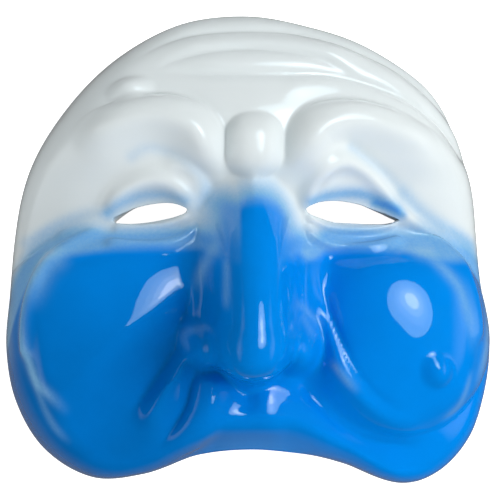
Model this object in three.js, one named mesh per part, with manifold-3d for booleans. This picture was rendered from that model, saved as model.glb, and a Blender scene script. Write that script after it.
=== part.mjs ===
// A half mask of the travelling comedy, lying face up on its rim.
// Units are millimetres. +Z rises out of the face, +Y runs to the forehead and +X to the viewer's right.
// The mask is one moulded shell. Its outer face is drawn as a height over the table at every place of its
// outline, then the folds are laid on it along the surface's own direction, then the nose is added.
import * as THREE from 'three';
import { mergeVertices } from 'three/addons/utils/BufferGeometryUtils.js';
import Module from 'manifold-3d';

const wasm = await Module();
wasm.setup();

// Overall sizes
const WALL = 3.0;              // thickness of the shell
const THINNEST = 2.2;          // no place of it is left thinner than about this
const MOUTH_RISE = 30;         // how far the rim arches up over the wearer's mouth
const FOREHEAD_RISE = 5;       // how far the rim lifts over the forehead
const SKULL_CURVE = 15.5;      // steepness of the side walls
const FLANGE_SLOPE = 2.2;      // steepness of the strip under the lip
const CROWN_DROP = 58;         // how far the face falls from its middle line to its sides
const CROWN_HALF = 103;        // half width over which it falls
const NOSE_HOOK = 0.22;        // how far the nose leans over the lip for each millimetre it stands out
const NOSE_SHIFT = 0.4;        // the nose sits a little to the viewer's right
const EDGE_CALM = 5;           // no fold reaches nearer to the rim than this

// Mesh sizes
const COLUMNS = 60;
const ROWS = 56;
const NARROWEST = 3.2;         // folds are never laid narrower than the mesh can carry

// Radius of the outline by angle, anticlockwise from the viewer's right
const OUTLINE = [
  [-90, 77.2], [-76, 81.4], [-66, 91.9], [-57, 108.3], [-50, 113.4], [-41, 113.7], [-32, 108.7], [-22, 102.2],
  [-9, 94.0], [3, 91.2], [18, 91.8], [38, 91.3], [60, 90.1], [76, 88.9], [90, 90.2], [115, 91.6], [143, 90.2],
  [160, 91.0], [178, 91.5], [191, 94.7], [203, 102.2], [214, 108.3], [225, 110.9], [236, 107.1], [245, 96.2],
  [256, 81.9],
];

// Height of the middle line from chin side to forehead, without the nose
const SPINE = [
  [-84, 46], [-70, 52.5], [-60, 53.5], [-50, 52], [-25, 52], [-8, 53], [8, 54.5], [20, 57], [32, 60.5], [45, 61],
  [58, 57], [70, 50.5], [82, 42], [94, 32],
];

// Cheeks: centre, half sizes, top height, how far the dome stands, turn and how boxy its plan is
const CHEEKS = [
  { centre: [-57, -42], half: [60, 37], top: 64, rise: 36, turn: 45, boxy: 1.2, shoulder: true },
  { centre: [53, -33], half: [41, 41], top: 63, rise: 36, turn: -30, boxy: 1.25 },
];
// The edge where the left cheek turns down to its crease
const SHOULDER = { centre: [-36, -26.5], turn: 38.4, height: 60.8, slope: 0.8, tail: 0.2 };
// The soft swellings that join the nose to the cheeks
const NOSE_SIDES = [
  { centre: [-20.5, -14], half: [9, 17], turn: -6, foot: 50.5, rise: 7.5 },
  { centre: [19.5, -24], half: [14, 27], turn: 11, foot: 53, rise: 6.8 },
];

// Nose: height of its ridge, half width of its front and steepness of its sides, from chin side to forehead
const NOSE_RIDGE = [
  [-90, -60], [-60, 36], [-50, 62], [-45, 79], [-41, 89.5], [-36, 94.5], [-30, 95.8], [-24, 95.2], [-18, 93.6],
  [-10, 90], [0, 84.6], [8, 79.5], [15, 73.5], [20, 68], [26, 60.5], [34, 51], [60, -60],
];
// The same ridge for the hollow behind it, which rises to the tip more gently
const NOSE_HOLLOW = [
  [-90, -60], [-60, 30], [-52, 46], [-44, 66], [-36, 84], [-28, 91], [-18, 92], [-10, 89.5], [0, 84], [8, 79],
  [15, 73], [20, 67.5], [26, 60], [34, 50.5], [60, -60],
];
const NOSE_HALF = [[-48, 6.0], [-41, 8.6], [-33, 9.0], [-22, 7.4], [-10, 6.8], [5, 6.8], [13, 5.4], [21, 1.5]];
const NOSE_SLOPE = [[-50, 3.0], [-30, 2.9], [-10, 2.3], [8, 1.9], [20, 1.35]];
const NOSE_TIP = { centre: [-0.4, -32], half: [13, 12], foot: 76, rise: 18.5, fall: 40 };
const NOSTRILS = [
  { centre: [-18, -37], half: [8.6, 10], turn: -18, foot: 54, rise: 17.5 },
  { centre: [16, -37], half: [9, 10.5], turn: 15, foot: 56, rise: 13.5 },
];

// Rolls of material: the line each follows, how high it stands and how broad it is
const ROLLS = [
  { line: [[19, 27], [21, 37], [28, 43], [40, 44.5], [53, 41], [66, 34]], height: 7.5, width: 9.0 },              // right brow
  { line: [[-15.5, 27], [-18, 38], [-25, 44], [-36, 46], [-48, 43], [-60, 37]], height: 7.5, width: 8.5 },        // left brow
  { line: [[12, 56.5], [28, 58.5], [44, 55.5], [60, 48.5]], height: 1.6, width: 3.5 },                            // over the right brow
  { line: [[20, 12], [23, 21.5], [29.5, 28.5], [37, 28.8], [45, 23.5], [51, 17], [57, 10.5]], height: 4.4, width: 3.6 },    // right upper lid
  { line: [[27, 16.5], [35, 20.5], [44, 18]], height: 2.0, width: 4.0 },
  { line: [[-53, 11], [-47, 18.5], [-38, 22.5], [-30, 21.5], [-24.5, 16.5], [-21.5, 10]], height: 4.4, width: 4.2 }, // left upper lid
  { line: [[-31, 28], [-24.5, 26.5], [-19.8, 22], [-18.3, 16]], height: 1.2, width: 2.6 },
  { line: [[21, 9], [28, 5.9], [37, 5], [46, 5.2], [54, 6.8]], height: 2.4, width: 1.6 },                         // right lower lid
  { line: [[-51, 6.2], [-41, 6.2], [-31, 7], [-24, 9]], height: 2.2, width: 1.6 },                              // left lower lid
  { line: [[20, 5], [26, 0], [35, -1.6], [45, -1.2], [56, 2]], height: 2.6, width: 2.2 },                         // right bag
  { line: [[-53, 0], [-42, -1.3], [-32, -1], [-24.5, 1.5], [-20.5, 6]], height: 2.4, width: 2.2 },                // left bag
  { line: [[57, 11], [66, 4.8], [76, -2.4], [83, -11], [86.5, -23], [87, -36]], height: 2.6, width: 2.0 },        // round the right cheek
  { line: [[72, 6], [80, 1], [86, -8]], height: 1.8, width: 1.8 },
  { line: [[-57, 5], [-67, -0.5], [-76, -7], [-82.5, -16], [-85.5, -28], [-85.5, -42]], height: 2.2, width: 1.9 }, // round the left cheek
  { line: [[-54, 11], [-62, 7.5], [-72, 3]], height: 1.4, width: 2.4 },
  { line: [[29, -42], [34, -51], [45, -62], [60, -68]], height: 3.2, width: 6.0 },                                // right jowl
  { line: [[-21, -33], [-24.5, -43.5], [-30, -55], [-38, -66]], height: 4.6, width: 5.4 },                        // left jowl
  { line: [[-22, -64.5], [-12, -63], [1, -62.5], [14, -63], [24, -64.5]], height: 3.0, width: 5.0 },              // lip
  { line: [[0.6, -50], [0.8, -61]], height: -2.0, width: 3.0 },                                                   // channel over the lip
  { line: [[-5.8, -50], [-6.4, -62]], height: 1.0, width: 3.2 },
  { line: [[7.2, -50], [8.2, -62]], height: 1.0, width: 3.2 },
];

// The creases from the nose round the cheeks, and the one from the left corner of the lip
const RIGHT_CHEEK_CREASE = [[24, -8], [25, -16], [28.3, -27], [33.5, -40], [41, -52], [50, -59.5], [62, -63.5]];
const LEFT_CHEEK_CREASE = [[-24, -8], [-23, -17], [-24, -27], [-27, -36.5], [-32.5, -46.5], [-40, -57.5], [-47, -66]];
const LEFT_LIP_CREASE = [[-19, -44], [-21.8, -52], [-24.2, -61], [-29.5, -69.5], [-35.5, -77]];

// Cuts with a tight bottom: line, depth, width, and the share of the length over which each end dies away
const GROOVES = [
  { line: [[-56, 55], [-43, 61], [-29, 62.7], [10, 62.5], [40, 60], [57, 53.5], [72, 44], [86, 30]], depth: 1.3, width: 1.6, ends: [0.12, 0.05] },
  { line: [[-38, 62], [-30, 67], [-18, 70], [0, 71.5], [16, 70], [30, 65.5], [42, 60]], depth: 1.0, width: 1.5, ends: [0.25, 0.2] },
  { line: [[-46, 67], [-34, 74], [-18, 78.5], [2, 79.5], [20, 78.3], [38, 73], [54, 65], [84, 38]], depth: 0.9, width: 1.6, ends: [0.2, 0.1] },
  { line: [[11.5, 25], [12.3, 36], [14.3, 44], [19, 49.3], [27, 52], [38, 52.3], [58, 46.5], [82, 30]], depth: 1.5, width: 2.2, ends: [0.15, 0.35] },
  { line: [[-70, 38], [-62, 46], [-41, 53.8], [-31, 54.3], [-22, 52], [-14.5, 47], [-10, 34], [-10.5, 25]], depth: 1.4, width: 2.2, ends: [0.35, 0.15] },
  { line: [[60, 11], [53, 19.7], [46, 28], [39.5, 33.5], [33, 36.5], [26, 34]], depth: 2.0, width: 2.6, ends: [0.2, 0.3] },
  { line: [[-13, 12], [-15, 21], [-22.5, 29.5], [-32, 33], [-42, 33]], depth: 1.5, width: 2.6, ends: [0.2, 0.3] },
  { line: [[17, -42], [22, -51], [28, -60.5], [36, -69.5], [46, -75], [60, -76.5], [74, -71]], depth: 2.8, width: 4.4, ends: [0.12, 0.3] },
  { line: LEFT_LIP_CREASE, depth: 1.2, width: 2.0, ends: [0.2, 0.3] },
  { line: RIGHT_CHEEK_CREASE, depth: 1.3, width: 1.4, ends: [0.35, 0.25] },
  { line: LEFT_CHEEK_CREASE, depth: 1.2, width: 2.0, ends: [0.4, 0.3] },
  { line: [[76, 2], [84, -7], [88.5, -20], [89.5, -38], [87, -54], [78, -68], [66, -77]], depth: 1.2, width: 2.8, ends: [0.2, 0.25] },
  { line: [[-70, 2], [-79, -5], [-86, -15], [-89, -28], [-88.5, -42], [-83, -57], [-74, -68], [-62, -78]], depth: 1.2, width: 2.8, ends: [0.2, 0.25] },
];

// Folds that start sharply on their line and swell on its left-hand side only
const WELTS = [
  { line: [[-56, 55], [-43, 61], [-29, 62.7], [10, 62.5], [40, 60], [57, 53.5], [72, 44], [86, 30]], height: 2.6, reach: 4.5, ends: [0.12, 0.05] },
  { line: [[-38, 62], [-30, 67], [-18, 70], [0, 71.5], [16, 70], [30, 65.5], [42, 60]], height: 2.0, reach: 4.0, ends: [0.25, 0.2] },
  { line: [[-46, 67], [-34, 74], [-18, 78.5], [2, 79.5], [20, 78.3], [38, 73], [54, 65], [84, 38]], height: 1.8, reach: 4.5, ends: [0.2, 0.1] },
  { line: [[82, 30], [58, 46.5], [38, 52.3], [27, 52], [19, 49.3], [14.3, 44], [12.3, 36], [11.5, 25]], height: 2.4, reach: 4.5, ends: [0.35, 0.12] },
  { line: [[-10.5, 25], [-10, 34], [-14.5, 47], [-22, 52], [-31, 54.3], [-41, 53.8], [-62, 46], [-70, 38]], height: 2.2, reach: 4.5, ends: [0.12, 0.35] },
  { line: RIGHT_CHEEK_CREASE.toReversed(), height: 1.2, reach: 3.0, ends: [0.3, 0.35] },
  { line: LEFT_CHEEK_CREASE, height: 3.2, reach: 4.5, ends: [0.3, 0.45] },
  { line: LEFT_LIP_CREASE, height: 3.0, reach: 5.0, ends: [0.2, 0.45] },
];

// Single bumps: the knob between the brows and two warts
const BUMPS = [
  { centre: [0.6, 33], half: [10.6, 14.2], height: 8.2, turn: 0, round: 1.0, boxy: 2.6 },
  { centre: [-45, 57.5], half: [8.2, 5.0], height: 4.0, turn: 8, round: 0.8, boxy: 2 },
  { centre: [67.4, -47.6], half: [7, 7.4], height: 3.6, turn: 30, round: 1.8, boxy: 2 },
];

// The eye sockets are pressed in
const SOCKETS = [
  { centre: [38, 12], half: [24, 11], depth: 4.5, turn: -8 },
  { centre: [-37, 12], half: [22, 11], depth: 4.5, turn: 8 },
];

// Eye slits, as closed outlines in plan
const SLITS = [
  [[-50.8, 8.6], [-45.6, 11.9], [-37.9, 13.8], [-30.1, 14.3], [-24.0, 12.0], [-30.1, 9.3], [-37.9, 8.3], [-45, 7.9]],
  [[20, 11.7], [25.5, 14.3], [33, 15.0], [43, 13.4], [49.6, 11], [55, 8.5], [49.5, 7.2], [43, 7.2], [33, 7.2], [25, 9.4]],
];

const radians = (degrees) => degrees * Math.PI / 180;
const clamp = (value, low, high) => Math.min(high, Math.max(low, value));

function smoothstep(low, high, value) {
  const t = clamp((value - low) / (high - low), 0, 1);
  return t * t * (3 - 2 * t);
}

// The larger of two heights, with a fillet of the given size where they meet
function softMax(a, b, fillet) {
  const h = clamp(0.5 + 0.5 * (a - b) / fillet, 0, 1);
  return b + (a - b) * h + fillet * h * (1 - h);
}

function softMin(a, b, fillet) {
  return -softMax(-a, -b, fillet);
}

// A smooth value read off a short table of [place, value]
function readTable(points, place) {
  const at = clamp(place, points[0][0], points[points.length - 1][0]);
  let i = 0;
  while (i < points.length - 2 && at >= points[i + 1][0]) i += 1;
  const step = (k) => (points[k + 1][1] - points[k][1]) / (points[k + 1][0] - points[k][0]);
  const lean = (k) => {
    if (k === 0) return step(0);
    if (k === points.length - 1) return step(points.length - 2);
    const before = step(k - 1);
    const after = step(k);
    return before * after > 0 ? 2 * before * after / (before + after) : 0;
  };
  const h = points[i + 1][0] - points[i][0];
  const t = (at - points[i][0]) / h;
  return (1 + 2 * t) * (1 - t) ** 2 * points[i][1] + t * (1 - t) ** 2 * h * lean(i)
    + t * t * (3 - 2 * t) * points[i + 1][1] - t * t * (1 - t) * h * lean(i + 1);
}

// A smooth curve through a few points, as short straight steps
function curve(points, steps, closed = false) {
  const count = points.length;
  const pick = (i) => points[closed ? (i + count) % count : clamp(i, 0, count - 1)];
  const out = [];
  for (let i = 0; i < (closed ? count : count - 1); i += 1) {
    const [a, b, c, d] = [pick(i - 1), pick(i), pick(i + 1), pick(i + 2)];
    for (let k = 0; k < steps; k += 1) {
      const t = k / steps;
      out.push([0, 1].map((n) => 0.5 * (2 * b[n] + (c[n] - a[n]) * t + (2 * a[n] - 5 * b[n] + 4 * c[n] - d[n]) * t * t
        + (3 * b[n] - a[n] - 3 * c[n] + d[n]) * t ** 3)));
    }
  }
  if (!closed) out.push(points[count - 1]);
  return out;
}

const outlineKnots = [OUTLINE[OUTLINE.length - 1], ...OUTLINE, OUTLINE[0], OUTLINE[1]].map(([angle, radius], i) => (
  [angle + (i === 0 ? -360 : 0) + (i > OUTLINE.length ? 360 : 0), radius]));

function outlineRadius(angle) {
  let at = angle;
  while (at < -90) at += 360;
  while (at >= 270) at -= 360;
  let i = 1;
  while (i < outlineKnots.length - 3 && at >= outlineKnots[i + 1][0]) i += 1;
  const [a, b, c, d] = [outlineKnots[i - 1], outlineKnots[i], outlineKnots[i + 1], outlineKnots[i + 2]];
  const h = c[0] - b[0];
  const leanB = (c[1] - a[1]) / (c[0] - a[0]);
  const leanC = (d[1] - b[1]) / (d[0] - b[0]);
  const t = (at - b[0]) / h;
  return (1 + 2 * t) * (1 - t) ** 2 * b[1] + t * (1 - t) ** 2 * h * leanB
    + t * t * (3 - 2 * t) * c[1] - t * t * (1 - t) * h * leanC;
}

const turnFrom = (angle, from) => Math.abs(((((angle - from + 180) % 360) + 360) % 360) - 180);
const mouthShare = (angle) => 1 - smoothstep(9, 30, turnFrom(angle, -90));

function rimHeight(angle) {
  return MOUTH_RISE * (1 - smoothstep(5, 40, turnFrom(angle, -90)))
    + FOREHEAD_RISE * (1 - smoothstep(0, 55, turnFrom(angle, 90)));
}

// Place of (x, y) in a feature's own turned frame
function local(x, y, { centre, turn = 0 }) {
  const c = Math.cos(radians(turn));
  const s = Math.sin(radians(turn));
  const px = x - centre[0];
  const py = y - centre[1];
  return [px * c + py * s, -px * s + py * c];
}

// A dome that is squeezed a little towards the eye
function cheekHeight(x, y, cheek) {
  const [px, py] = local(x, y + 0.008 * Math.max(y + 20, 0) ** 2, cheek);
  const q = (px / cheek.half[0]) ** 2 + (py / cheek.half[1]) ** 2;
  const dome = cheek.top - cheek.rise + cheek.rise * Math.sqrt(Math.max(1 - q ** cheek.boxy, 0)) - 26 * Math.max(Math.sqrt(q) - 1, 0);
  if (!cheek.shoulder) return dome;
  const [along, beyond] = local(x, y, SHOULDER);
  return softMin(dome, SHOULDER.height + SHOULDER.slope * beyond + SHOULDER.tail * Math.max(-along - 12, 0), 2.5);
}

function swelling(x, y, ball) {
  const [px, py] = local(x, y, ball);
  return ball.foot + ball.rise * (1 - (px / ball.half[0]) ** 2 - (py / ball.half[1]) ** 2);
}

// The plain form that the folds sit on, as a height over the table
function baseHeight(x, y) {
  const angle = Math.atan2(y, x) * 180 / Math.PI;
  const inside = Math.max(outlineRadius(angle) - Math.hypot(x, y), 0);
  let face = readTable(SPINE, y) - CROWN_DROP * (1 - Math.sqrt(Math.max(1 - (x / CROWN_HALF) ** 2, 0)));
  for (const cheek of CHEEKS) face = softMax(face, cheekHeight(x, y, cheek), 8);
  for (const side of NOSE_SIDES) face = softMax(face, swelling(x, y, side), 4);
  const mouth = mouthShare(angle);
  const rim = rimHeight(angle);
  const low = smoothstep(5, -25, y);
  const skull = rim + (SKULL_CURVE + 2 * low) * Math.sqrt(inside);
  const flange = rim + FLANGE_SLOPE * inside;
  return softMin(face, skull * (1 - mouth) + flange * mouth, (12 + 6 * low) * (1 - mouth) + 8 * mouth);
}

// Signed distance to a line, positive on its left, and how far along it the nearest place is
function along(x, y, path) {
  let best = { distance: Infinity, side: 1, run: 0 };
  let run = 0;
  for (let i = 0; i < path.length - 1; i += 1) {
    const [ax, ay] = path[i];
    const dx = path[i + 1][0] - ax;
    const dy = path[i + 1][1] - ay;
    const length = Math.hypot(dx, dy);
    const t = clamp(((x - ax) * dx + (y - ay) * dy) / length ** 2, 0, 1);
    const distance = Math.hypot(x - ax - t * dx, y - ay - t * dy);
    if (distance < best.distance) {
      best = { distance, side: Math.sign(dx * (y - ay) - dy * (x - ax)) || 1, run: run + t * length };
    }
    run += length;
  }
  return [best.distance * best.side, best.run / run];
}

const fade = (share, [first, last]) => smoothstep(0, first, share) * smoothstep(0, last, 1 - share);

function rollHeight(x, y, roll) {
  let total = 0;
  for (let i = 0; i < roll.path.length - 1; i += 1) {
    const [ax, ay] = roll.path[i];
    const [bx, by] = roll.path[i + 1];
    total += Math.hypot(bx - ax, by - ay)
      * Math.exp(-((x - (ax + bx) / 2) ** 2 + (y - (ay + by) / 2) ** 2) / roll.width ** 2);
  }
  return roll.height * total / (roll.width * Math.sqrt(Math.PI));
}

function grooveDepth(x, y, groove) {
  const [distance, share] = along(x, y, groove.path);
  const s = distance / groove.width;
  return groove.depth * Math.exp(0.35 - Math.sqrt(s * s + 0.12)) * fade(share, groove.ends) * (1 - smoothstep(3, 4.5, Math.abs(s)));
}

function weltHeight(x, y, welt) {
  const [distance, share] = along(x, y, welt.path);
  const s = Math.max(distance, 0) / welt.reach;
  return welt.height * s * Math.exp(1 - s) * (1 - smoothstep(1.6, 3.4, s)) * fade(share, welt.ends);
}

function bumpHeight(x, y, bump) {
  const [px, py] = local(x, y, bump);
  const q = Math.abs(px / bump.half[0]) ** bump.boxy + Math.abs(py / bump.half[1]) ** bump.boxy;
  return bump.height * Math.max(1 - q, 0) ** bump.round;
}

function socketDepth(x, y, socket) {
  const [px, py] = local(x, y, socket);
  return socket.depth * Math.exp(-((px / socket.half[0]) ** 2 + (py / socket.half[1]) ** 2));
}

// A fold narrower than the mesh is laid broader and lower, keeping the material in it
function carried(fold, size) {
  const broad = Math.max(fold[size], NARROWEST);
  const share = fold[size] / broad;
  const out = { ...fold, [size]: broad, path: curve(fold.line, 6) };
  if (out.height) out.height *= share;
  if (out.depth) out.depth *= share;
  return out;
}

const rolls = ROLLS.map((roll) => carried(roll, 'width'));
const grooves = GROOVES.map((groove) => carried(groove, 'width'));
const welts = WELTS.map((welt) => carried(welt, 'reach'));

// Everything modelled on the plain form
function relief(x, y) {
  let rise = 0;
  for (const roll of rolls) rise += rollHeight(x, y, roll);
  for (const groove of grooves) rise -= grooveDepth(x, y, groove);
  for (const welt of welts) rise += weltHeight(x, y, welt);
  for (const bump of BUMPS) rise += bumpHeight(x, y, bump);
  for (const socket of SOCKETS) rise -= socketDepth(x, y, socket);
  return rise;
}

// Only what is broad enough to show on the inside of the shell
function innerRelief(x, y) {
  let rise = 0;
  for (const roll of rolls) if (roll.width > 4.5) rise += rollHeight(x, y, roll);
  for (const groove of grooves) rise -= 1.15 * grooveDepth(x, y, { ...groove, width: groove.width * 1.4 });
  for (const socket of SOCKETS) rise -= socketDepth(x, y, socket);
  return rise + 0.4 * bumpHeight(x, y, BUMPS[0]);
}

function tipHeight(x, y) {
  const [px, py] = local(x, y, NOSE_TIP);
  const q = (px / NOSE_TIP.half[0]) ** 2 + (py / NOSE_TIP.half[1]) ** 2;
  return NOSE_TIP.foot + NOSE_TIP.rise * Math.sqrt(Math.max(1 - q, 0)) - NOSE_TIP.fall * Math.max(q - 1, 0);
}

// Height of the nose's own surface, far under the face away from it
function noseHeight(x, y, inner) {
  const across = x - NOSE_SHIFT;
  const slope = readTable(NOSE_SLOPE, y) * (1 + 0.1 * Math.tanh(across / 6));
  const soft = inner ? 3.2 : 2.0;
  const half = readTable(NOSE_HALF, y) - (inner ? 1.5 : 0);
  const over = (Math.abs(across) - half) / soft;
  const fall = soft * (over > 20 ? over : Math.log1p(Math.exp(over))) * slope;
  let height = readTable(inner ? NOSE_HOLLOW : NOSE_RIDGE, y) - fall - 0.022 * across ** 2;
  if (inner) return height;
  height = softMax(height, tipHeight(x, y), 5);
  for (const nostril of NOSTRILS) height = softMax(height, swelling(x, y, nostril), 5);
  return height;
}

// A place on the moulded face over (x, y)
function facePoint(x, y, inner = false) {
  const e = 0.25;
  const here = baseHeight(x, y);
  const slopeX = (baseHeight(x + e, y) - baseHeight(x - e, y)) / (2 * e);
  const slopeY = (baseHeight(x, y + e) - baseHeight(x, y - e)) / (2 * e);
  const normal = new THREE.Vector3(-slopeX, -slopeY, 1).normalize();
  const inside = Math.max(outlineRadius(Math.atan2(y, x) * 180 / Math.PI) - Math.hypot(x, y), 0);
  const rise = (inner ? innerRelief(x, y) : relief(x, y)) * smoothstep(0, EDGE_CALM, inside);
  const point = new THREE.Vector3(x, y, here).addScaledVector(normal, rise);
  const top = softMax(point.z, noseHeight(x, y, inner), 8);
  point.y -= NOSE_HOOK * (top - point.z);
  point.z = top;
  return point;
}

// Steps from -1 to 1 that crowd together where the density is high
function spread(count, density) {
  const fine = 400;
  const sums = [0];
  for (let i = 0; i < fine; i += 1) sums.push(sums[i] + density(-1 + (2 * i + 1) / fine));
  const out = [];
  for (let k = 0; k <= count; k += 1) {
    const goal = sums[fine] * k / count;
    let i = 0;
    while (i < fine - 1 && sums[i + 1] < goal) i += 1;
    out.push(-1 + 2 * (i + (goal - sums[i]) / (sums[i + 1] - sums[i])) / fine);
  }
  return out;
}

const columnPlaces = spread(COLUMNS, (u) => 1 + 0.9 * Math.exp(-((u / 0.18) ** 2)));
const rowPlaces = spread(ROWS, (v) => 1 + 0.9 * Math.exp(-(((v + 0.47) / 0.12) ** 2)));

// A place of the square grid, laid inside the outline and crowded towards the rim
function planPoint(u, v) {
  const a = u * Math.sqrt(1 - v * v / 2);
  const b = v * Math.sqrt(1 - u * u / 2);
  const r = Math.hypot(a, b);
  if (r < 1e-9) return [0, 0];
  const share = 1 - Math.max(1 - r, 0) ** 1.25;
  const scale = outlineRadius(Math.atan2(b, a) * 180 / Math.PI) * share / r;
  return [a * scale, b * scale];
}

const onEdge = (i, j, columns, rows) => i === 0 || j === 0 || i === columns || j === rows;

// The inner face lies one wall thickness behind the outer form
function innerPoint(x, y, atRim) {
  const radius = Math.hypot(x, y);
  if (atRim) {
    const angle = Math.atan2(y, x) * 180 / Math.PI;
    const share = 1 - WALL / radius;
    return new THREE.Vector3(x * share, y * share, rimHeight(angle));
  }
  const e = 0.6;
  const here = facePoint(x, y, true);
  const alongX = facePoint(x + e, y, true).sub(facePoint(x - e, y, true));
  const alongY = facePoint(x, y + e, true).sub(facePoint(x, y - e, true));
  const normal = alongX.cross(alongY).normalize();
  return here.addScaledVector(normal, -WALL);
}

function grid(columns, rows, stride, place) {
  const points = [];
  for (let j = 0; j <= rows; j += 1) {
    for (let i = 0; i <= columns; i += 1) {
      const [x, y] = planPoint(columnPlaces[i * stride], rowPlaces[j * stride]);
      points.push(place(x, y, onEdge(i, j, columns, rows)));
    }
  }
  return points;
}

// Where the inner face would come too near the outer one, as under a deep crease, it is pressed further in
function keepWall(outer, inner) {
  const centres = [];
  for (let j = 0; j < ROWS; j += 1) {
    for (let i = 0; i < COLUMNS; i += 1) {
      const a = j * (COLUMNS + 1) + i;
      const corners = [a, a + 1, a + COLUMNS + 1, a + COLUMNS + 2];
      centres.push(corners.reduce((sum, n) => sum.addScaledVector(outer[n], 0.25), new THREE.Vector3()));
    }
  }
  const skin = [...outer, ...centres];
  const columns = COLUMNS / 2;
  const rows = ROWS / 2;
  const inward = inner.map((point, n) => {
    const [i, j] = [n % (columns + 1), Math.floor(n / (columns + 1))];
    if (onEdge(i, j, columns, rows)) return new THREE.Vector3();
    const across = inner[n + 1].clone().sub(inner[n - 1]);
    const along = inner[n + columns + 1].clone().sub(inner[n - columns - 1]);
    return across.cross(along).normalize().negate();
  });
  const gap = (place) => skin.reduce((least, p) => Math.min(least, p.distanceToSquared(place)), Infinity) ** 0.5;
  for (let pass = 0; pass < 5; pass += 1) {
    for (let j = 0; j < rows; j += 1) {
      for (let i = 0; i < columns; i += 1) {
        const a = j * (columns + 1) + i;
        for (const pair of [[a, a], [a, a + 1], [a, a + columns + 1], [a, a + columns + 2], [a + 1, a + columns + 1]]) {
          const middle = inner[pair[0]].clone().add(inner[pair[1]]).multiplyScalar(0.5);
          const short = THINNEST + 0.3 - gap(middle);
          if (short > 0) for (const n of new Set(pair)) inner[n].addScaledVector(inward[n], Math.min(short, 0.8));
        }
      }
    }
  }
}

function edgeLoop(columns, rows) {
  const at = (i, j) => j * (columns + 1) + i;
  const loop = [];
  for (let i = 0; i < columns; i += 1) loop.push(at(i, 0));
  for (let j = 0; j < rows; j += 1) loop.push(at(columns, j));
  for (let i = columns; i > 0; i -= 1) loop.push(at(i, rows));
  for (let j = rows; j > 0; j -= 1) loop.push(at(0, j));
  return loop;
}

// Each square of the outer face is split along the diagonal that lies closer to the carving under it
function followsCarving(i, j, columns, rows, points, [a, b, c, d]) {
  const [x, y] = planPoint((columnPlaces[i] + columnPlaces[i + 1]) / 2, (rowPlaces[j] + rowPlaces[j + 1]) / 2);
  const middle = facePoint(x, y);
  const off = (p, q) => points[p].clone().add(points[q]).multiplyScalar(0.5).distanceTo(middle);
  return off(a, c) < off(b, d);
}

function shellGeometry() {
  const outer = grid(COLUMNS, ROWS, 1, (x, y, atRim) => {
    const point = facePoint(x, y);
    if (atRim) point.set(x, y, rimHeight(Math.atan2(y, x) * 180 / Math.PI));
    return point;
  });
  const inner = grid(COLUMNS / 2, ROWS / 2, 2, innerPoint);
  keepWall(outer, inner);
  const shift = outer.length;
  const indices = [];
  const quads = (columns, rows, start, flip, points, follows) => {
    for (let j = 0; j < rows; j += 1) {
      for (let i = 0; i < columns; i += 1) {
        const a = start + j * (columns + 1) + i;
        const [b, c, d] = [a + 1, a + columns + 2, a + columns + 1];
        const pair = follows(i, j, columns, rows, points, [a, b, c, d].map((n) => n - start)) ? [[a, b, c], [a, c, d]] : [[a, b, d], [b, c, d]];
        for (const [p, q, r] of pair) indices.push(...(flip ? [p, r, q] : [p, q, r]));
      }
    }
  };
  quads(COLUMNS, ROWS, 0, false, outer, followsCarving);
  quads(COLUMNS / 2, ROWS / 2, shift, true, inner, (i, j, columns, rows) => (i < columns / 2) === (j < rows / 2));
  const outerLoop = edgeLoop(COLUMNS, ROWS);
  const innerLoop = edgeLoop(COLUMNS / 2, ROWS / 2).map((i) => i + shift);
  innerLoop.forEach((here, k) => {
    const next = innerLoop[(k + 1) % innerLoop.length];
    const [p, q, r] = [0, 1, 2].map((n) => outerLoop[(2 * k + n) % outerLoop.length]);
    indices.push(p, here, q, here, next, q, q, next, r);
  });
  const geometry = new THREE.BufferGeometry();
  geometry.setAttribute('position', new THREE.Float32BufferAttribute([...outer, ...inner].flatMap((p) => [p.x, p.y, p.z]), 3));
  geometry.setIndex(indices);
  return geometry;
}

// An upright prism through the shell, over a closed outline
function slitGeometry(outline, low, high) {
  const ring = curve(outline, 3, true);
  const area = ring.reduce((sum, [x, y], i) => {
    const [nx, ny] = ring[(i + 1) % ring.length];
    return sum + x * ny - nx * y;
  }, 0);
  if (area < 0) ring.reverse();
  const shape = new THREE.Shape(ring.map(([x, y]) => new THREE.Vector2(x, y)));
  const geometry = new THREE.ExtrudeGeometry(shape, { depth: high - low, bevelEnabled: false });
  geometry.translate(0, 0, low);
  return geometry;
}

function solid(geometry) {
  const plain = geometry.clone();
  for (const name of Object.keys(plain.attributes)) if (name !== 'position') plain.deleteAttribute(name);
  const merged = mergeVertices(plain, 1e-5);
  return new wasm.Manifold(new wasm.Mesh({
    numProp: 3,
    vertProperties: new Float32Array(merged.attributes.position.array),
    triVerts: new Uint32Array(merged.index.array),
  }));
}

function fromSolid(body) {
  const mesh = body.getMesh();
  const geometry = new THREE.BufferGeometry();
  geometry.setAttribute('position', new THREE.Float32BufferAttribute(mesh.vertProperties, 3));
  geometry.setIndex([...mesh.triVerts]);
  return geometry;
}

let body = solid(shellGeometry());
for (const slit of SLITS) body = body.subtract(solid(slitGeometry(slit, 20, 100)));
const geometry = fromSolid(body);

// The mask is set on the table with the middle of its plan over the origin
geometry.computeBoundingBox();
const box = geometry.boundingBox;
geometry.translate(-(box.min.x + box.max.x) / 2, -(box.min.y + box.max.y) / 2, -box.min.z);
geometry.computeVertexNormals();

const lacquer = new THREE.MeshStandardMaterial({ name: 'lacquer', color: 0x5f9fd8, roughness: 0.2, metalness: 0 });
const mask = new THREE.Mesh(geometry, lacquer);
mask.name = 'mask_shell';

const part = new THREE.Group();
part.name = 'half_mask';
part.add(mask);

export default part;
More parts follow.
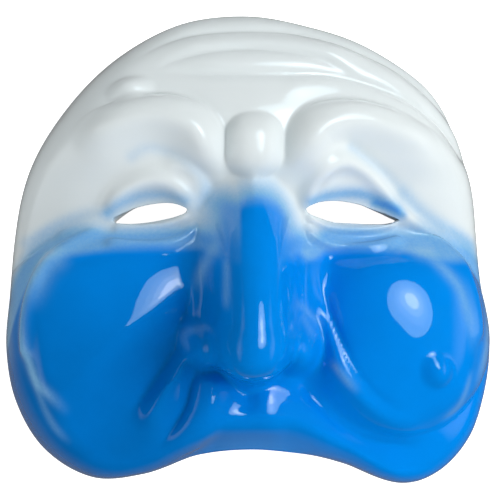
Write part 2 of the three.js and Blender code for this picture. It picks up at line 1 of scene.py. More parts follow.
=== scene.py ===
# %% [markdown]
# # A painted half mask of the travelling comedy
#
# The real object is one thin moulded shell, about as big as an adult's face from forehead to upper lip. It is
# sprayed white above and blue below, and covered with a clear gloss lacquer. Here it lies face up on a table.
# The CAD model already has the right size and the main carving, in flat facets. This notebook makes the same
# shell again with a fine mesh, so that its folds, lids and warts are smooth enough for a gloss finish.

# %% Load the frame
import math

import bmesh
import bpy
import numpy as np
from mathutils import Matrix, Vector
from mathutils.bvhtree import BVHTree


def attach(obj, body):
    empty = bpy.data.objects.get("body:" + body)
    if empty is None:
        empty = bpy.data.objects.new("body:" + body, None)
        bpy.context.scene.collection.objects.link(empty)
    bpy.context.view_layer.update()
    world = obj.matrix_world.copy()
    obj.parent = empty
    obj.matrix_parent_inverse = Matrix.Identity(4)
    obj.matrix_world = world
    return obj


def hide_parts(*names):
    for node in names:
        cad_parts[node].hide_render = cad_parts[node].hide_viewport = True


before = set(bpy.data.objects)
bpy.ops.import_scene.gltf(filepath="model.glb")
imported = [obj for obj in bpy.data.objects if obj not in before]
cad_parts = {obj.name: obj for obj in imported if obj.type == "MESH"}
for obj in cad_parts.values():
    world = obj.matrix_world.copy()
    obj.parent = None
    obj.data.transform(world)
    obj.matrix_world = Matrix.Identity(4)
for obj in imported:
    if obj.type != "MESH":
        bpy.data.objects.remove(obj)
bpy.context.view_layer.update()

# %% [markdown]
# ## Sizes
#
# All the shaping below is written in millimetres, as a mask maker would measure it, and turned into metres when
# the mesh is finished. The plan has its zero near the middle of the face: x runs to the viewer's right and y up
# to the forehead. The frame wants the middle of the object's box at zero, so the plan is shifted by a little.

# %% Sizes in millimetres
MM = 0.001
TO_CENTRE = (-0.283, 0.277)  # from the plan's zero to the frame's
WALL = 3.0  # thickness of the shell
THINNEST = 2.0  # the inner face keeps at least this far behind the outer one
EDGE_ROUND = 0.7  # radius of every cut edge
MOUTH_RISE = 30.0  # the rim arches this far up over the wearer's mouth
FOREHEAD_RISE = 5.0  # and this far over the forehead
SKULL_CURVE = 15.5  # steepness of the side walls
FLANGE_SLOPE = 2.2  # steepness of the strip under the lip
CROWN_DROP = 58.0  # fall of the face from its middle line to its sides
CROWN_HALF = 103.0  # half width over which it falls
NOSE_SHIFT = 0.4  # the nose sits a little to the viewer's right
NOSE_HOOK = 0.22  # and leans over the lip this much for each millimetre it stands out
EDGE_CALM = 5.0  # no fold comes nearer to the rim than this
OUTER_SQUARES = 256
INNER_SQUARES = 116
print("a shell", WALL, "mm thick, drawn with", OUTER_SQUARES, "squares across outside and", INNER_SQUARES, "inside")

# %% [markdown]
# ## Drawing with soft curves
#
# Clay has no hard corners, so everything is built from a few soft functions. `ease` runs from 0 to 1 between two
# places. `fuse_high` takes the higher of two surfaces and puts a fillet where they meet. `soft_line` threads a
# curve through a few points. `between` bends smoothly from one value to the next with a given lean at each, and
# `read_table` uses it to read a value off a short table.

# %% Soft functions
def ease(low, high, value):
    t = np.clip((value - low) / (high - low), 0.0, 1.0)
    return t * t * (3.0 - 2.0 * t)


def fuse_high(a, b, fillet):
    h = np.clip(0.5 + 0.5 * (a - b) / fillet, 0.0, 1.0)
    return b + (a - b) * h + fillet * h * (1.0 - h)


def fuse_low(a, b, fillet):
    return -fuse_high(-a, -b, fillet)


def soft_line(points, steps=8, closed=False):
    p = np.array(points, float)
    count = len(p)
    pick = (lambda i: p[i % count]) if closed else (lambda i: p[min(max(i, 0), count - 1)])
    out = []
    for i in range(count if closed else count - 1):
        a, b, c, d = (pick(i + k) for k in (-1, 0, 1, 2))
        for k in range(steps):
            t = k / steps
            out.append(0.5 * (2 * b + (c - a) * t + (2 * a - 5 * b + 4 * c - d) * t ** 2
                              + (3 * b - a - 3 * c + d) * t ** 3))
    return np.array(out if closed else out + [p[-1]])


def between(a, b, lean_a, lean_b, width, t):
    return ((1 + 2 * t) * (1 - t) ** 2 * a + t * (1 - t) ** 2 * width * lean_a
            + t * t * (3 - 2 * t) * b - t * t * (1 - t) * width * lean_b)


def read_table(points, place):
    xs, ys = np.array(points, float).T
    h = np.diff(xs)
    step = np.diff(ys) / h
    lean = np.zeros(len(xs))
    both = step[1:] * step[:-1]
    lean[1:-1] = np.where(both > 0, 2 * both / (step[1:] + step[:-1] + 1e-12), 0)
    lean[0], lean[-1] = step[0], step[-1]
    at = np.clip(place, xs[0], xs[-1])
    i = np.clip(np.searchsorted(xs, at, side="right") - 1, 0, len(xs) - 2)
    return between(ys[i], ys[i + 1], lean[i], lean[i + 1], h[i], (at - xs[i]) / h[i])


print("halfway along a fillet:", float(fuse_high(np.array(1.0), np.array(1.0), 2.0)))

# %% [markdown]
# ## The outline
#
# Seen from above, the mask is a rounded hood with two jowls and an arch between them for the wearer's mouth. The
# outline is a radius for each angle, so that any place can be asked how far inside the rim it is. A square grid
# is then squeezed into it: `in_outline` bends the square into a round and stretches that to the outline. Grid
# lines crowd together at the rim, because the side walls stand nearly upright there.

# %% The outline
RIM_CROWD = 0.15  # the smaller, the closer the grid lines at the rim
OUTLINE = [
    # angle in degrees, radius in millimetres
    (-90, 77.2), (-76, 81.4), (-66, 91.2), (-57, 108.7), (-50, 114.1), (-41, 113.7), (-32, 108.7), (-22, 102.2),
    (-9, 92.8), (3, 90.2), (18, 91.6), (38, 92.3), (60, 90.6), (76, 88.9), (90, 89.9), (115, 91.1), (143, 90.2),
    (160, 91), (178, 91.5), (191, 94.7), (203, 102.2), (214, 108.3), (225, 110.9), (236, 107.1), (245, 96.2),
    (256, 81.9),
]


def outline_radius(angle):
    around = [(OUTLINE[-1][0] - 360, OUTLINE[-1][1])] + OUTLINE + [(way + 360, far) for way, far in OUTLINE[:2]]
    a, r = np.array(around, float).T
    at = (angle + 90) % 360 - 90
    i = np.clip(np.searchsorted(a, at, side="right") - 1, 1, len(a) - 3)
    h = a[i + 1] - a[i]
    lean = (r[i + 1] - r[i - 1]) / (a[i + 1] - a[i - 1])
    next_lean = (r[i + 2] - r[i]) / (a[i + 2] - a[i])
    return between(r[i], r[i + 1], lean, next_lean, h, (at - a[i]) / h)


def angle_of(x, y):
    return np.degrees(np.arctan2(y, x))


def inside_rim(x, y):
    return np.maximum(outline_radius(angle_of(x, y)) - np.hypot(x, y), 0.0)


def in_outline(u, v):
    a = u * np.sqrt(1 - v * v / 2)
    b = v * np.sqrt(1 - u * u / 2)
    r = np.hypot(a, b)
    left = np.clip(1 - r, 0, 1)
    share = 1 - left ** 2 / (left + RIM_CROWD) * (1 + RIM_CROWD)
    scale = outline_radius(angle_of(a, b)) * share / np.maximum(r, 1e-9)
    return a * scale, b * scale


print("width of the outline:", float(outline_radius(np.array(3.0)) + outline_radius(np.array(178.0))), "mm")

# %% [markdown]
# ## The plain form
#
# Before any fold is cut, a sculptor blocks out the big masses: a crowned front, two full cheeks and the walls
# that carry it all down to the table. The front is a curve from chin side to forehead (`SPINE`) that falls away
# to both sides. The cheeks are domes fused to it. The left one is also pared off by a slanting plane, its
# shoulder, where it turns down to its crease. Two low swellings carry the nose. The wall rises steeply from the
# rim like the side of a skull, except under the lip, where it is a plain sloping strip. Formulas suit such forms
# better than pushing vertices by hand, because every mass stays a named size that can be changed.

# %% The plain form
SPINE = [
    (-84, 46), (-70, 52.5), (-60, 53.5), (-50, 52), (-25, 52), (-8, 53), (8, 54.5), (20, 57), (32, 60.5), (45, 61),
    (58, 57), (70, 50.5), (82, 42), (94, 32),
]
LEFT_CHEEK = dict(centre=(-58, -45), half=(80, 48), top=64, rise=36, turn=45, boxy=1.0)
RIGHT_CHEEK = dict(centre=(52, -33), half=(41, 41), top=63, rise=36, turn=-30, boxy=1.25)
CHEEK_PRESSED, PRESSED_FROM = 0.002, -20  # above this height on the plan each cheek falls away faster
CHEEK_FOOT = 26  # how fast a cheek falls away beyond its own oval
NOSE_SIDES = [
    dict(centre=(-20.5, -14), half=(9, 17), turn=-6, foot=50.5, rise=7.5),
    dict(centre=(12.5, -22), half=(17, 30), turn=8, foot=52.0, rise=8.5),
]
SHOULDER, SHOULDER_TURN, SHOULDER_TOP = (-36, -26.5), 38.4, 62.2
SHOULDER_CLIMB, SHOULDER_FALL, SHOULDER_BEND = 0.8, 0.13, 0.07
SHOULDER_FILLET, SIDE_FILLET, CHEEK_FILLET, LIP_FILLET, WALL_FILLET = 2.8, 4.0, 8.0, 8.0, 12.0
CHIN_FADE, CHIN_STEEPER, CHIN_SOFTER = (5, -25), 2.0, 6  # down the plan the walls get steeper, with a wider fillet
FLANGE_FADE, MOUTH_FADE, FOREHEAD_FADE = (9, 30), (5, 40), (0, 55)  # degrees to either side of the middle


def turned(x, y, centre, turn):
    c, s = math.cos(math.radians(turn)), math.sin(math.radians(turn))
    px, py = x - centre[0], y - centre[1]
    return px * c + py * s, -px * s + py * c


def turn_from(angle, start):
    return np.abs((angle - start + 180) % 360 - 180)


def under_lip(angle):
    return 1 - ease(*FLANGE_FADE, turn_from(angle, -90))


def rim_height(angle):
    return (MOUTH_RISE * (1 - ease(*MOUTH_FADE, turn_from(angle, -90)))
            + FOREHEAD_RISE * (1 - ease(*FOREHEAD_FADE, turn_from(angle, 90))))


def swelling(x, y, centre, half, turn, foot, rise):
    px, py = turned(x, y, centre, turn)
    return foot + rise * (1 - (px / half[0]) ** 2 - (py / half[1]) ** 2)


def cheek_dome(x, y, centre, half, top, rise, turn, boxy):
    px, py = turned(x, y + CHEEK_PRESSED * np.maximum(y - PRESSED_FROM, 0) ** 2, centre, turn)
    q = (px / half[0]) ** 2 + (py / half[1]) ** 2
    return top - rise + rise * np.sqrt(np.maximum(1 - q ** boxy, 0)) - CHEEK_FOOT * np.maximum(np.sqrt(q) - 1, 0)


def shoulder(x, y):
    along, beyond = turned(x, y, SHOULDER, SHOULDER_TURN)
    return SHOULDER_TOP + SHOULDER_CLIMB * beyond - SHOULDER_FALL * along - SHOULDER_BEND * np.maximum(along, 0)


def plain_form(x, y):
    angle = angle_of(x, y)
    inside = inside_rim(x, y)
    front = read_table(SPINE, y) - CROWN_DROP * (1 - np.sqrt(np.maximum(1 - (x / CROWN_HALF) ** 2, 0.0)))
    left_cheek = fuse_low(cheek_dome(x, y, **LEFT_CHEEK), shoulder(x, y), SHOULDER_FILLET)
    for cheek in (left_cheek, cheek_dome(x, y, **RIGHT_CHEEK)):
        front = fuse_high(front, cheek, CHEEK_FILLET)
    for side in NOSE_SIDES:
        front = fuse_high(front, swelling(x, y, **side), SIDE_FILLET)
    lip = under_lip(angle)
    rim = rim_height(angle)
    chin = ease(*CHIN_FADE, y)
    skull = rim + (SKULL_CURVE + CHIN_STEEPER * chin) * np.sqrt(inside + 1e-9)
    wall = skull * (1 - lip) + (rim + FLANGE_SLOPE * inside) * lip
    return fuse_low(front, wall, (WALL_FILLET + CHIN_SOFTER * chin) * (1 - lip) + LIP_FILLET * lip)


print("height at the middle of the face:", float(plain_form(np.array(0.0), np.array(0.0))), "mm")

# %% [markdown]
# ## Tools for the folds
#
# Old faces fold in a few ways only, and each way gets its own tool. A `roll` is a sausage of clay laid along a
# line and smoothed at the ends. A `groove` is the cut of a wire tool, tight at its bottom. A `welt` starts
# sharply on one side of a line and swells on the other, as skin does over a crease. A `bump` is a single ball
# of clay, and a `hollow` is pressed in with the thumb.

# %% Tools for the folds
def along_line(x, y, points):
    path = soft_line(points)
    run, best = 0.0, np.full(x.shape, 1e9)
    side, place = np.ones(x.shape), np.zeros(x.shape)
    for a, b in zip(path[:-1], path[1:]):
        d = b - a
        length = math.hypot(*d)
        t = np.clip(((x - a[0]) * d[0] + (y - a[1]) * d[1]) / length ** 2, 0, 1)
        ex, ey = x - a[0] - t * d[0], y - a[1] - t * d[1]
        off = ex * ex + ey * ey
        near = off < best
        best = np.where(near, off, best)
        side = np.where(near, np.sign(d[0] * ey - d[1] * ex), side)
        place = np.where(near, run + t * length, place)
        run += length
    return np.sqrt(best) * side, place / run


def fade_ends(share, ends):
    return ease(0, ends[0], share) * ease(0, ends[1], 1 - share)


def roll(x, y, line, height, width):
    path = soft_line(line, 6)
    total = np.zeros(x.shape)
    for a, b in zip(path[:-1], path[1:]):
        mid = (a + b) / 2
        total += math.hypot(*(b - a)) * np.exp(-((x - mid[0]) ** 2 + (y - mid[1]) ** 2) / width ** 2)
    return height * total / (width * math.sqrt(math.pi))


def groove(x, y, line, depth, width, ends):
    off, share = along_line(x, y, line)
    s = off / width
    return -depth * np.exp(0.35 - np.sqrt(s * s + 0.12)) * fade_ends(share, ends) * (1 - ease(3.0, 4.5, np.abs(s)))


def welt(x, y, line, height, reach, ends):
    off, share = along_line(x, y, line)
    s = np.maximum(off, 0) / reach
    return height * s * np.exp(1 - s) * (1 - ease(1.6, 3.4, s)) * fade_ends(share, ends)


def bump(x, y, centre, half, height, turn=0.0, power=1.0, boxy=2.0):
    px, py = turned(x, y, centre, turn)
    q = np.abs(px / half[0]) ** boxy + np.abs(py / half[1]) ** boxy
    return height * np.maximum(1 - q, 0) ** power


def hollow(x, y, centre, half, depth, turn):
    px, py = turned(x, y, centre, turn)
    return -depth * np.exp(-((px / half[0]) ** 2 + (py / half[1]) ** 2))


# %% [markdown]
# ## The folds
#
# Each fold is named by its line on the plan. The forehead has three creases that sag to one side, each with a
# welt over it. The brows are broad rolls under a crease that curls down beside the knob. The lids are tents of
# thin skin. Two deep creases run from the nose round the cheeks to the jowls.

# %% Lines of the folds
BROW_FURROW = [
    (-38, 62.4), (-29, 62.7), (-10, 62.3), (10, 62.5), (26, 62.5), (40, 60), (57, 53.5), (72, 44), (86, 30)]
MIDDLE_FURROW = [(-38, 62), (-30, 67), (-18, 70), (0, 71.5), (16, 70), (30, 65.5), (42, 60)]
TOP_FURROW = [(-46, 67), (-34, 74), (-18, 78.5), (2, 79.5), (20, 78.3), (38, 73), (54, 65), (70, 52), (84, 38)]
RIGHT_BROW_CREASE = [
    (11.5, 25), (12.3, 36), (14.3, 44), (19, 49.3), (27, 52), (38, 52.3), (48, 50), (58, 46.5), (68, 41.5), (82, 30)]
LEFT_BROW_CREASE = [
    (-70, 38), (-62, 46), (-52, 51), (-41, 53.8), (-31, 54.3), (-22, 52), (-14.5, 47), (-10.8, 41), (-10, 34),
    (-10.5, 25)]
RIGHT_CHEEK_CREASE = [(24, -8), (25, -16), (28.3, -27), (33.5, -40), (41, -52), (50, -59.5), (62, -63.5)]
LEFT_CHEEK_CREASE = [(-24, -8), (-23, -17), (-24, -27), (-27, -36.5), (-32.5, -46.5), (-40, -57.5), (-47, -66)]
LEFT_LIP_CREASE = [(-19, -44), (-21.8, -52), (-24.2, -61), (-29.5, -69.5), (-35.5, -77)]

ROLLS = [  # line, height, width
    # over the right brow, the two brows, and the foot of the knob
    ([(12, 56.5), (28, 58.5), (44, 55.5), (60, 48.5)], 0.9, 3.5),
    ([(19, 27), (21, 37), (28, 43), (40, 44.5), (53, 41), (66, 34)], 7.5, 9),
    ([(-15.5, 27), (-18, 38), (-25, 44), (-36, 46), (-48, 43), (-60, 37)], 7.5, 8.5),
    ([(0.6, 27), (0.6, 16)], 3.2, 6.5),
    # upper lids
    ([(20, 12), (23, 21.5), (29.5, 28.5), (37, 28.8), (45, 23.5), (51, 17), (57, 10.5)], 4.4, 3.6),
    ([(27, 16.5), (35, 20.5), (44, 18)], 2, 4),
    ([(-53, 11), (-47, 18.5), (-38, 22.5), (-30, 21.5), (-24.5, 16.5), (-21.5, 10)], 4.4, 4.2),
    ([(-31, 28), (-24.5, 26.5), (-19.8, 22), (-18.3, 16)], 1.2, 2.6),
    # lower lids, and the bags under them
    ([(21, 9), (28, 5.9), (37, 5), (46, 5.2), (54, 6.8)], 2.4, 1.6),
    ([(-51, 6.2), (-41, 6.2), (-31, 7), (-24, 9)], 2.2, 1.6),
    ([(20, 5), (26, 0), (35, -1.6), (45, -1.2), (56, 2)], 2.6, 2.2),
    ([(-53, 0), (-42, -1.3), (-32, -1), (-24.5, 1.5), (-20.5, 6)], 2.4, 2.2),
    # from the corner of the eye round the cheek
    ([(57, 11), (66, 4.8), (75, -2.8), (80.5, -11.5), (83.5, -23), (84, -36)], 2.2, 2.4),
    ([(72, 6), (79, 1), (84, -7)], 0.9, 2.4),
    ([(-57, 5), (-67, -0.5), (-75, -7), (-80, -16), (-82.5, -28), (-82.5, -42)], 2, 2.4),
    ([(-54, 11), (-62, 7.5), (-72, 3)], 1.4, 2.4),
    # jowls, lip and the channel over the lip
    ([(29, -42), (34, -51), (45, -62), (60, -68)], 3.2, 6),
    ([(-21, -33), (-24.5, -43.5), (-30, -55), (-38, -66)], 4.6, 5.4),
    ([(-22, -67), (-12, -66.3), (1, -66), (12, -66.3)], 1.7, 5.5),
    ([(-1.5, -50), (-1, -62)], -1.5, 3.6),
    ([(-13.5, -48), (-13, -64)], 2.3, 6),
    ([(4, -50), (6.5, -64)], 1.1, 6),
]
GROOVES = [  # line, depth, width, share of the line over which each end fades
    (BROW_FURROW, 1.2, 2, (0.15, 0.05)),
    (MIDDLE_FURROW, 1, 1.5, (0.25, 0.2)),
    (TOP_FURROW, 0.9, 1.6, (0.2, 0.1)),
    (RIGHT_BROW_CREASE, 2.3, 3.4, (0.12, 0.55)),
    (LEFT_BROW_CREASE, 2.2, 3.2, (0.45, 0.12)),
    # valleys over the upper lids
    ([(60, 11), (53, 19.7), (46, 28), (39.5, 33.5), (33, 36.5), (26, 34)], 2, 2.6, (0.2, 0.3)),
    ([(-13, 12), (-15, 21), (-22.5, 29.5), (-32, 33), (-42, 33)], 1.5, 2.6, (0.2, 0.3)),
    # under the bags, where the cheeks begin
    ([(-21, -8), (-30, -5.6), (-42, -5), (-54, -5.2), (-64, -7.5), (-73, -12)], 0.6, 2, (0.2, 0.25)),
    ([(22, -9), (30, -6.2), (40, -5.2), (52, -5.2), (62, -7), (71, -11)], 0.6, 2, (0.2, 0.25)),
    # from the wings of the nose down and round the jowls
    ([(14.5, -44), (19.5, -52), (26.5, -60.5), (36, -69.5), (46, -75), (60, -76.5), (74, -71)],
     3.4, 4.4, (0.22, 0.3)),
    (LEFT_LIP_CREASE, 1.2, 2, (0.2, 0.3)),
    (RIGHT_CHEEK_CREASE, 1.3, 1.4, (0.35, 0.25)),
    (LEFT_CHEEK_CREASE, 1.2, 2, (0.4, 0.3)),
    # rings at the outer sides of the cheeks
    ([(75, 0), (81, -9), (84.5, -20), (85, -37), (82.5, -52), (75, -64), (64, -73)], 0.7, 3, (0.25, 0.4)),
    ([(-70, 1), (-78, -6), (-83.5, -15), (-86, -28), (-85.5, -41), (-80.5, -55), (-72, -66), (-60, -76)],
     0.8, 3, (0.25, 0.4)),
]
WELTS = [  # line, height, reach, share of the line over which each end fades
    (BROW_FURROW, 2.2, 5, (0.2, 0.05)),
    (MIDDLE_FURROW, 2, 4, (0.25, 0.2)),
    (TOP_FURROW, 1.8, 4.5, (0.2, 0.1)),
    (RIGHT_BROW_CREASE[::-1], 1.5, 5.5, (0.35, 0.12)),
    (LEFT_BROW_CREASE[::-1], 1.4, 5.5, (0.12, 0.35)),
    (RIGHT_CHEEK_CREASE[::-1], 1, 2, (0.3, 0.35)),
    (LEFT_CHEEK_CREASE, 3.2, 4.5, (0.3, 0.45)),
    (LEFT_LIP_CREASE, 3, 5, (0.2, 0.45)),
]
BROAD, KNOB_BEHIND = 4.5, 0.4  # only broad rolls and a little of the knob show on the back
DEEPER, WIDER = 1.15, 1.4  # and every groove stands out there a little more
KNOB = dict(centre=(0.6, 34.8), half=(10.8, 12.0), height=7.2, boxy=2.6)
WARTS = [
    dict(centre=(-45, 56.0), half=(10.4, 6.6), height=3.8, turn=12, power=2.0),
    dict(centre=(67.4, -47.6), half=(7.0, 7.4), height=3.6, turn=30, power=1.8),
]
HOLLOWS = [
    dict(centre=(38, 12), half=(24, 11), depth=4.5, turn=-8),
    dict(centre=(-37, 12), half=(22, 11), depth=4.5, turn=8),
]


def folds(x, y):
    rise = bump(x, y, **KNOB)
    for tool, rows in ((roll, ROLLS), (groove, GROOVES), (welt, WELTS)):
        for row in rows:
            rise = rise + tool(x, y, *row)
    for tool, pieces in ((bump, WARTS), (hollow, HOLLOWS)):
        for piece in pieces:
            rise = rise + tool(x, y, **piece)
    return rise


def inner_folds(x, y):
    rise = KNOB_BEHIND * bump(x, y, **KNOB)
    for line, height, width in ROLLS:
        if width > BROAD:
            rise = rise + roll(x, y, line, height, width)
    for line, depth, width, ends in GROOVES:
        rise = rise + groove(x, y, line, DEEPER * depth, WIDER * width, ends)
    for piece in HOLLOWS:
        rise = rise + hollow(x, y, **piece)
    return rise


print("folds:", len(ROLLS), "rolls,", len(GROOVES), "grooves,", len(WELTS), "welts")

# %% [markdown]
# ## The nose
#
# The nose is tall and hooked, far too steep to be drawn as a swelling of the face. It is a surface of its own: a
# ridge line read from a table, with sides that fall away on either hand, a ball at the tip and a smaller ball
# for each wing. It is fused to the face, and everything that stands proud of the face is pushed down towards the
# lip in proportion, which gives the hook.

# %% The nose
NOSE_RIDGE = [
    (-90, -60), (-60, 36), (-50, 62), (-45, 79), (-41, 89.5), (-36, 94.5), (-30, 95.8), (-24, 95.2), (-18, 93.6),
    (-10, 90), (0, 84.6), (8, 79.5), (15, 73.5), (20, 68), (26, 60.5), (34, 51), (60, -60),
]
NOSE_BEHIND = [
    (-90, -60), (-60, 30), (-52, 46), (-44, 66), (-36, 84), (-28, 91), (-18, 92), (-10, 89.5), (0, 84), (8, 79),
    (15, 73), (20, 67.5), (26, 60), (34, 50.5), (60, -60),
]
NOSE_HALF = [(-48, 6), (-41, 8.6), (-33, 9), (-22, 7.4), (-10, 6.8), (5, 6.8), (13, 5.4), (21, 1.5)]
NOSE_SLOPE = [(-50, 3), (-30, 2.9), (-10, 2.3), (8, 1.9), (20, 1.35)]
NOSE_BALL, NOSE_BALL_HALF, NOSE_BALL_FOOT, NOSE_BALL_RISE = (-0.4, -32.0), (13.0, 12.0), 76.0, 18.5
NOSE_BALL_FALL, NOSE_FILLET, FACE_FILLET = 40, 5.0, 8.0
NOSE_EDGE, NOSE_EDGE_BEHIND = 2.0, 3.2  # how round the ridge turns into the sides, outside and on the back
NOSE_NARROWER = 1.5  # half of what the ridge is narrower on the back
NOSE_UNEVEN, NOSE_CROWN = 0.1, 0.022  # its right side is steeper, and the ridge itself a little round
SLOPE_STEP, SLOPE_STEP_BEHIND = 0.25, 0.6  # slopes are measured over this distance to either side
RIM_STRIP = (2.0, 12.0)  # from here to there, the wall's thickness turns from level to square to the face
NOSE_WINGS = [
    dict(centre=(-15.5, -36.0), half=(11.0, 10.5), turn=-18, foot=54.0, rise=17.5),
    dict(centre=(16.0, -37.0), half=(9.0, 10.5), turn=15, foot=56.0, rise=13.5),
]


def nose(x, y, behind=False):
    across = x - NOSE_SHIFT
    soft = NOSE_EDGE_BEHIND if behind else NOSE_EDGE
    half = read_table(NOSE_HALF, y) - (NOSE_NARROWER if behind else 0.0)
    slope = read_table(NOSE_SLOPE, y) * (1 + NOSE_UNEVEN * np.tanh(across / 6))
    fall = soft * np.logaddexp(0, (np.abs(across) - half) / soft) * slope
    height = read_table(NOSE_BEHIND if behind else NOSE_RIDGE, y) - fall - NOSE_CROWN * across ** 2
    if behind:
        return height
    q = ((x - NOSE_BALL[0]) / NOSE_BALL_HALF[0]) ** 2 + ((y - NOSE_BALL[1]) / NOSE_BALL_HALF[1]) ** 2
    ball = NOSE_BALL_FOOT + NOSE_BALL_RISE * np.sqrt(np.maximum(1 - q, 0)) - NOSE_BALL_FALL * np.maximum(q - 1, 0)
    height = fuse_high(height, ball, NOSE_FILLET)
    for wing in NOSE_WINGS:
        height = fuse_high(height, swelling(x, y, **wing), NOSE_FILLET)
    return height


def face(x, y, behind=False):
    e = SLOPE_STEP
    plain = plain_form(x, y)
    lean_x = (plain_form(x + e, y) - plain_form(x - e, y)) / (2 * e)
    lean_y = (plain_form(x, y + e) - plain_form(x, y - e)) / (2 * e)
    size = np.sqrt(lean_x ** 2 + lean_y ** 2 + 1)
    rise = (inner_folds if behind else folds)(x, y) * ease(0.0, EDGE_CALM, inside_rim(x, y))
    px, py, pz = x - rise * lean_x / size, y - rise * lean_y / size, plain + rise / size
    top = fuse_high(pz, nose(x, y, behind), FACE_FILLET)
    return np.stack([px, py - NOSE_HOOK * (top - pz), top], 1)


def inner_face(x, y):
    e = SLOPE_STEP_BEHIND
    here = face(x, y, True)
    normal = np.cross(face(x + e, y, True) - face(x - e, y, True), face(x, y + e, True) - face(x, y - e, True))
    behind = here - WALL * normal / np.linalg.norm(normal, axis=1, keepdims=True)
    radius = np.maximum(np.hypot(x, y), 1e-9)
    beside = here - WALL * np.stack([x / radius, y / radius, 0 * x], 1)
    near_rim = 1 - ease(*RIM_STRIP, inside_rim(x, y))[:, None]
    return behind + (beside - behind) * near_rim


tip = face(*np.array(NOSE_BALL)[:, None])[0]
print("tip of the nose at", [round(float(c), 1) for c in tip], "mm")

# %% [markdown]
# ## Two grids with eye slits
#
# A fine grid becomes the outer face and a coarser one the inner face. Both start as a flat square, are squeezed
# into the outline, and get their eye slits while they are still flat: a cut along each short side of the slit's
# outline, on the squares that are still inside it, and then what is left inside is deleted. Cutting flat is much
# cleaner than cutting the carved shell. Three layers keep, for the paint later, each vertex's place on the plan
# and whether it is on the back.

# %% Flat grids with eye slits
SLIT_ROOM = 1.5  # squares this far from a slit may be cut
CUT_SNAP, TOO_SHORT = 0.02, 0.01  # a cut takes a vertex this near, and no edge stays as short as that
SLITS = [
    [(-52, 8.5), (-45.6, 11.2), (-37.9, 12.9), (-30.1, 13.2), (-24, 11.2), (-30.1, 9.6), (-37.9, 8.8), (-45, 8.2)],
    [(20, 11.6), (26, 13.8), (34, 14.1), (44, 12.5), (50.5, 10.3), (55.6, 8.3), (50, 7.2), (44, 7.2), (33, 7.4),
     (25, 9.4)],
]


def slit_ring(points, grow):
    ring = soft_line(points, 6, closed=True)
    after, before = np.roll(ring, -1, 0), np.roll(ring, 1, 0)
    if np.sum(ring[:, 0] * after[:, 1] - after[:, 0] * ring[:, 1]) < 0:
        ring, after, before = ring[::-1], before[::-1], after[::-1]
    side = after - before
    side /= np.linalg.norm(side, axis=1, keepdims=True)
    return ring + grow * np.stack([side[:, 1], -side[:, 0]], 1)


def cut_slit(bm, ring):
    low, high = ring.min(0) - SLIT_ROOM, ring.max(0) + SLIT_ROOM
    faces = [f for f in bm.faces if all(low[0] < v.co.x < high[0] and low[1] < v.co.y < high[1] for v in f.verts)]
    for a, b in zip(ring, np.roll(ring, -1, 0)):
        outward = Vector((b[1] - a[1], a[0] - b[0], 0)).normalized()
        corner = Vector((a[0], a[1], 0))
        geometry = set(faces)
        for f in faces:
            geometry.update(f.edges)
            geometry.update(f.verts)
        cut = bmesh.ops.bisect_plane(bm, geom=list(geometry), dist=CUT_SNAP, plane_co=corner, plane_no=outward)
        faces = [g for g in cut["geom"] if isinstance(g, bmesh.types.BMFace)
                 and (g.calc_center_median() - corner).dot(outward) < 0]
    bmesh.ops.delete(bm, geom=faces, context="FACES")


def flat_grid(squares, back):
    bm = bmesh.new()
    bmesh.ops.create_grid(bm, x_segments=squares, y_segments=squares, size=1.0)
    uv = np.array([v.co[:2] for v in bm.verts])
    for v, x, y in zip(bm.verts, *in_outline(uv[:, 0], uv[:, 1])):
        v.co = (x, y, 0)
    for points in SLITS:
        cut_slit(bm, slit_ring(points, EDGE_ROUND))
    bmesh.ops.dissolve_degenerate(bm, dist=TOO_SHORT, edges=bm.edges)
    plan_x, plan_y = bm.verts.layers.float.new("plan_x"), bm.verts.layers.float.new("plan_y")
    behind = bm.verts.layers.float.new("behind")
    for v in bm.verts:
        v[plan_x], v[plan_y], v[behind] = v.co.x, v.co.y, back
    return bm


outer = flat_grid(OUTER_SQUARES, 0.0)
inner = flat_grid(INNER_SQUARES, 1.0)
print("outer grid", len(outer.faces), "faces; inner grid", len(inner.faces), "faces")

# %% [markdown]
# ## From flat to carved
#
# Now every vertex of the outer grid is lifted to the carved face. The inner grid is lifted to a calmer copy of
# it, one wall thickness behind, because a mould is smoother on its back. Where a deep crease comes too near the
# back, the back is pressed further in. The tree of triangles (`BVHTree`) tells how far away the outer face is.

# %% Lift the grids
PRESSES, PRESSED_PAST = 6, 0.1  # rounds of pressing, and how far past the least thickness


def lift(bm, shape, rim_inset):
    flat = np.array([v.co[:2] for v in bm.verts])
    rim = inside_rim(flat[:, 0], flat[:, 1]) < 0.001
    places = shape(flat[:, 0], flat[:, 1])
    radius = np.hypot(flat[:, 0], flat[:, 1])
    share = 1 - rim_inset / radius[rim]
    places[rim, 0], places[rim, 1] = flat[rim, 0] * share, flat[rim, 1] * share
    places[rim, 2] = rim_height(angle_of(flat[rim, 0], flat[rim, 1])) + EDGE_ROUND
    for v, place in zip(bm.verts, places):
        v.co = place
    return rim


def keep_wall(outer, inner, rim):
    outer.normal_update()
    tree = BVHTree.FromBMesh(outer)
    free = [v for v, fixed in zip(inner.verts, rim) if not fixed and not v.is_boundary]
    for turn in range(PRESSES):
        pressed = []
        for v in free:
            skin, outward = tree.find_nearest(v.co)[:2]
            if (skin - v.co).dot(outward) < THINNEST:
                v.co = skin - outward * (THINNEST + PRESSED_PAST)
                pressed.append(v)
        print("pressed in at", len(pressed), "places")
        if pressed and turn < PRESSES - 1:
            bmesh.ops.smooth_vert(inner, verts=pressed, factor=0.5, use_axis_x=True, use_axis_y=True, use_axis_z=True)


lift(outer, face, 0.0)
keep_wall(outer, inner, lift(inner, inner_face, WALL))
bmesh.ops.reverse_faces(inner, faces=inner.faces)
print("highest place:", max(v.co.z for v in outer.verts), "mm")

